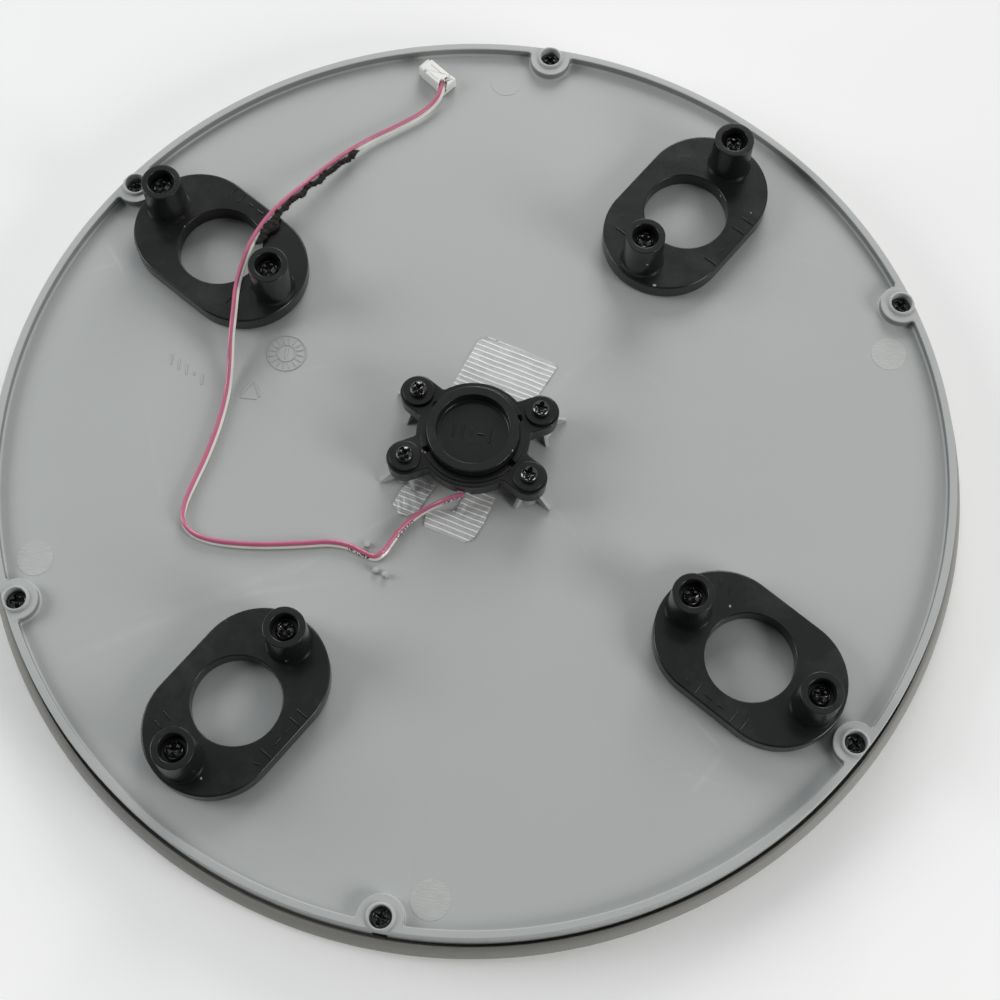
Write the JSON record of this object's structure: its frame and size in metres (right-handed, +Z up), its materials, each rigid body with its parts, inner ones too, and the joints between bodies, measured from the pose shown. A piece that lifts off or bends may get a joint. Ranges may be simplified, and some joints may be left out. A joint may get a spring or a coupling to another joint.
{
  "type": "digital bathroom scale",
  "caption": "Round digital bathroom scale lying on its platform with the base cover off: tray, sprung foot frames with posts, central sensor hub and a loose lead.",
  "frame": {"origin": "middle of the platform's face, on the surface that the opened scale lies on", "axes": "+Z up out of the open underside, +X towards the right-hand rim screws, +Y towards the sensor lead's connector"},
  "size_m": [0.2736, 0.2736, 0.0312],
  "materials": {
    "shell_grey": "fine satin moulding texture",
    "tray_grey": "smooth satin moulding",
    "mat_rubber": "ribbed non-slip",
    "black_plastic": "satin",
    "screw_steel": "black oxide",
    "cell_steel": "rolled sheet",
    "plunger_white": "moulded",
    "board_green": "solder mask",
    "window_glass": "polished clear lens, smoked",
    "lcd_glass": "polarised glass",
    "connector_white": "natural nylon",
    "contact_tin": "tin plated",
    "piezo_brass": "rolled",
    "piezo_ceramic": "silvered ceramic",
    "black_foam": "open-cell foam",
    "lead_pvc": "extruded pvc, one pink core and one white core",
    "filament_tape": "clear film with glass filaments"
  },
  "bodies": {
    "chassis": {"chassis_tray": "tray_grey", "connector_contact_1": "contact_tin", "connector_contact_2": "contact_tin", "display_frame": "black_plastic", "display_lcd": "lcd_glass", "display_window": "window_glass", "lead_connector": "connector_white", "lead_foam": "black_foam", "load_cell_1": "cell_steel", "load_cell_2": "cell_steel", "load_cell_3": "cell_steel", "load_cell_4": "cell_steel", "main_board": "board_green", "piezo_ceramic": "piezo_ceramic", "piezo_disc": "piezo_brass", "platform_mat": "mat_rubber", "platform_shell": "shell_grey", "rim_screw_1": "screw_steel", "rim_screw_2": "screw_steel", "rim_screw_3": "screw_steel", "rim_screw_4": "screw_steel", "rim_screw_5": "screw_steel", "rim_screw_6": "screw_steel", "sensor_body": "black_plastic", "sensor_cap": "black_plastic", "sensor_lead": "lead_pvc", "sensor_pad": "black_foam", "sensor_screw_1": "screw_steel", "sensor_screw_2": "screw_steel", "sensor_screw_3": "screw_steel", "sensor_screw_4": "screw_steel", "tape_strip_1": "filament_tape", "tape_strip_2": "filament_tape", "tape_strip_3": "filament_tape"},
    "foot_1": {"foot_frame_1": "black_plastic", "load_plunger_1": "plunger_white", "foot_screw_1a": "screw_steel", "foot_screw_1b": "screw_steel"},
    "foot_2": {"foot_frame_2": "black_plastic", "load_plunger_2": "plunger_white", "foot_screw_2a": "screw_steel", "foot_screw_2b": "screw_steel"},
    "foot_3": {"foot_frame_3": "black_plastic", "load_plunger_3": "plunger_white", "foot_screw_3a": "screw_steel", "foot_screw_3b": "screw_steel"},
    "foot_4": {"foot_frame_4": "black_plastic", "load_plunger_4": "plunger_white", "foot_screw_4a": "screw_steel", "foot_screw_4b": "screw_steel"}
  },
  "joints": [
    {"name": "foot_1_travel", "type": "slide", "parent": "chassis", "child": "foot_1", "axis": [0, 0, -1], "range_m": [0, 0.0006], "stiffness_N_per_m": 2000},
    {"name": "foot_2_travel", "type": "slide", "parent": "chassis", "child": "foot_2", "axis": [0, 0, -1], "range_m": [0, 0.0006], "stiffness_N_per_m": 2000},
    {"name": "foot_3_travel", "type": "slide", "parent": "chassis", "child": "foot_3", "axis": [0, 0, -1], "range_m": [0, 0.0006], "stiffness_N_per_m": 2000},
    {"name": "foot_4_travel", "type": "slide", "parent": "chassis", "child": "foot_4", "axis": [0, 0, -1], "range_m": [0, 0.0006], "stiffness_N_per_m": 2000}
  ]
}
